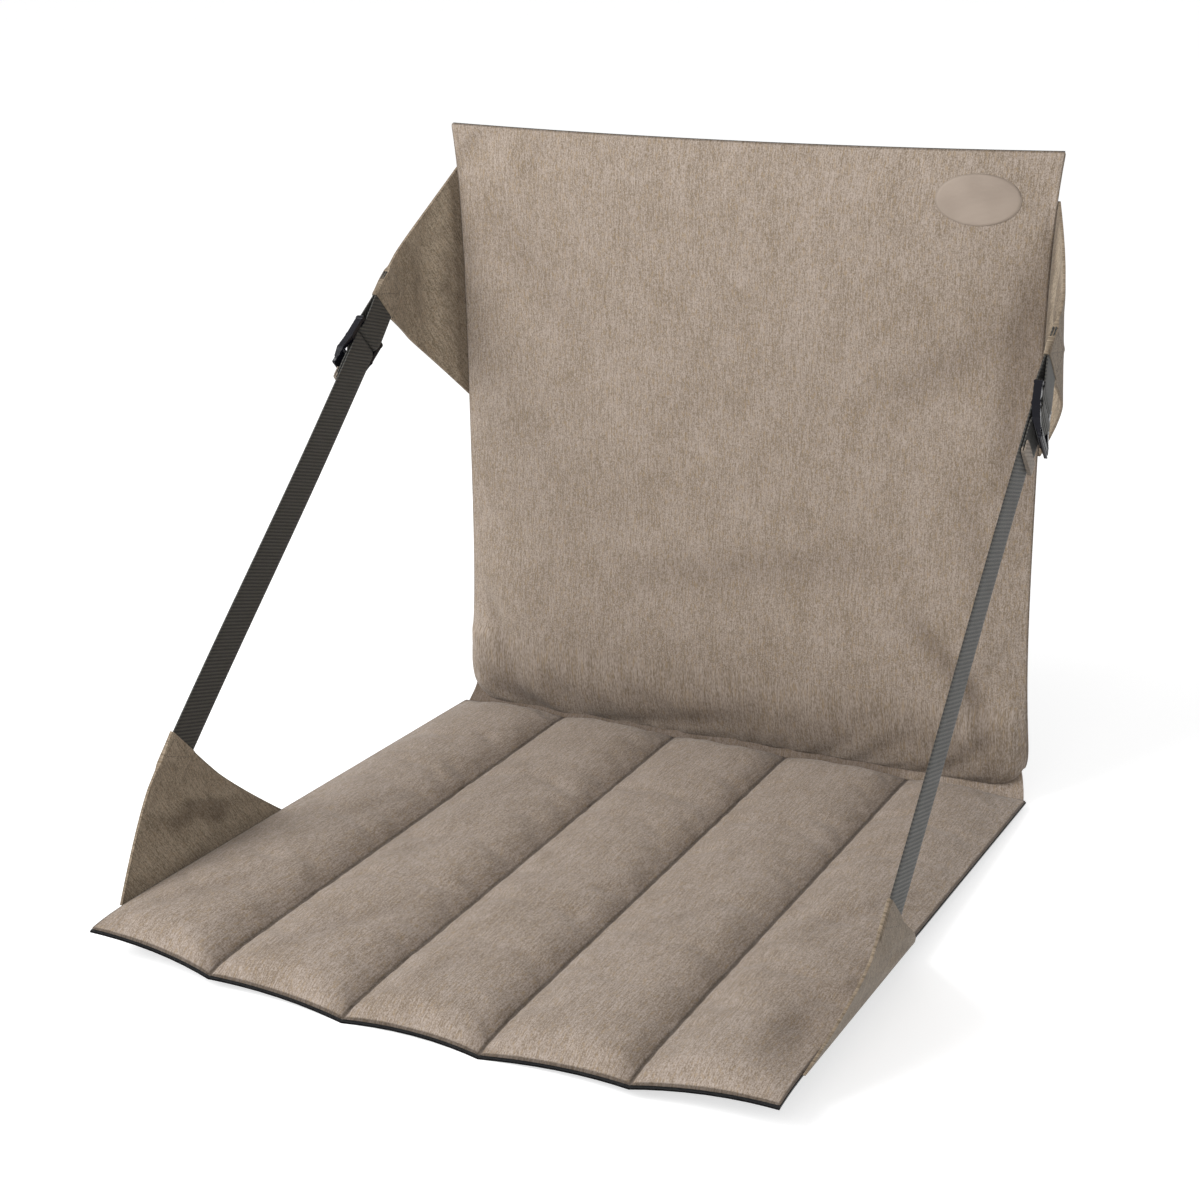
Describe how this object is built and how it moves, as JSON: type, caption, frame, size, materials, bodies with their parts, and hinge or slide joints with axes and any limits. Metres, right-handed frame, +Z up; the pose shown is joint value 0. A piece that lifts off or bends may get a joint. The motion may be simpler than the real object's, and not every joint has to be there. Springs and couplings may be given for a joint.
{
  "type": "folding bleacher chair",
  "caption": "Folding floor and bleacher chair: channelled seat pad and plain padded back on a cloth hinge, held upright by side straps with ladder-lock buckles.",
  "frame": {"origin": "Middle of the seat's underside, on the surface that the chair stands on.", "axes": "+X to the right of someone who faces the chair, +Y from the front edge of the seat toward the back, +Z up."},
  "size_m": [0.4724, 0.4327, 0.42],
  "materials": {
    "seat_cloth": "heathered woven polyester",
    "wing_cloth": "heathered woven polyester, darker",
    "coated_cloth": "matt coated polyester",
    "foam": "closed-cell foam sheet",
    "board": "plain sheet",
    "webbing": "twill webbing",
    "buckle_plastic": "polished moulding",
    "patch": "smooth woven patch"
  },
  "bodies": {
    "seat": {"seat_top_cover": "seat_cloth", "seat_base_cover": "coated_cloth", "seat_foam_1": "foam", "seat_foam_2": "foam", "seat_foam_3": "foam", "seat_foam_4": "foam", "seat_foam_5": "foam", "hinge_strip": "seat_cloth", "seat_wing_left": "wing_cloth", "seat_wing_right": "wing_cloth"},
    "backrest": {"back_front_cover": "seat_cloth", "back_rear_cover": "coated_cloth", "back_foam": "foam", "back_board": "board", "label_patch": "patch", "back_wing_left": "wing_cloth", "back_wing_right": "wing_cloth"},
    "strap_end_left": {"strap_left": "webbing"},
    "wing_tip_left": {"anchor_loop_left": "webbing"},
    "buckle_turn_left": {"buckle_left": "buckle_plastic"},
    "strap_end_right": {"strap_right": "webbing"},
    "wing_tip_right": {"anchor_loop_right": "webbing"},
    "buckle_turn_right": {"buckle_right": "buckle_plastic"}
  },
  "joints": [
    {"name": "back_fold", "type": "hinge", "parent": "seat", "child": "backrest", "pos_m": [0, 0.211, 0.0165], "axis": [1, 0, 0], "range_deg": [-6, 88], "deforming": ["hinge_strip", "back_wing_left", "back_wing_right"]},
    {"name": "strap_swing_left", "type": "hinge", "parent": "seat", "child": "strap_end_left", "pos_m": [0, 0.211, 0.0165], "axis": [1, 0, 0], "range_deg": [-4, 58.1], "deforming": ["strap_left"]},
    {"name": "wing_swing_left", "type": "hinge", "parent": "backrest", "child": "wing_tip_left", "pos_m": [0, 0.211, 0.0165], "axis": [1, 0, 0], "range_deg": [-30, 2.1]},
    {"name": "buckle_tilt_left", "type": "hinge", "parent": "wing_tip_left", "child": "buckle_turn_left", "pos_m": [-0.2289, 0.12142, 0.28311], "axis": [0, 0.6826, -0.7308], "range_deg": [0, 25], "deforming": ["anchor_loop_left"]},
    {"name": "strap_swing_right", "type": "hinge", "parent": "seat", "child": "strap_end_right", "pos_m": [0, 0.211, 0.0165], "axis": [1, 0, 0], "range_deg": [-4, 58.1], "deforming": ["strap_right"]},
    {"name": "wing_swing_right", "type": "hinge", "parent": "backrest", "child": "wing_tip_right", "pos_m": [0, 0.211, 0.0165], "axis": [1, 0, 0], "range_deg": [-30, 2.1]},
    {"name": "buckle_tilt_right", "type": "hinge", "parent": "wing_tip_right", "child": "buckle_turn_right", "pos_m": [0.2289, 0.12142, 0.28311], "axis": [0, -0.6826, 0.7308], "range_deg": [0, 25], "deforming": ["anchor_loop_right"]}
  ],
  "couplings": [
    {"joint": "strap_swing_left", "follows": "back_fold", "ratio": 0.66},
    {"joint": "wing_swing_left", "follows": "back_fold", "ratio": -0.34},
    {"joint": "strap_swing_right", "follows": "back_fold", "ratio": 0.66},
    {"joint": "wing_swing_right", "follows": "back_fold", "ratio": -0.34}
  ]
}
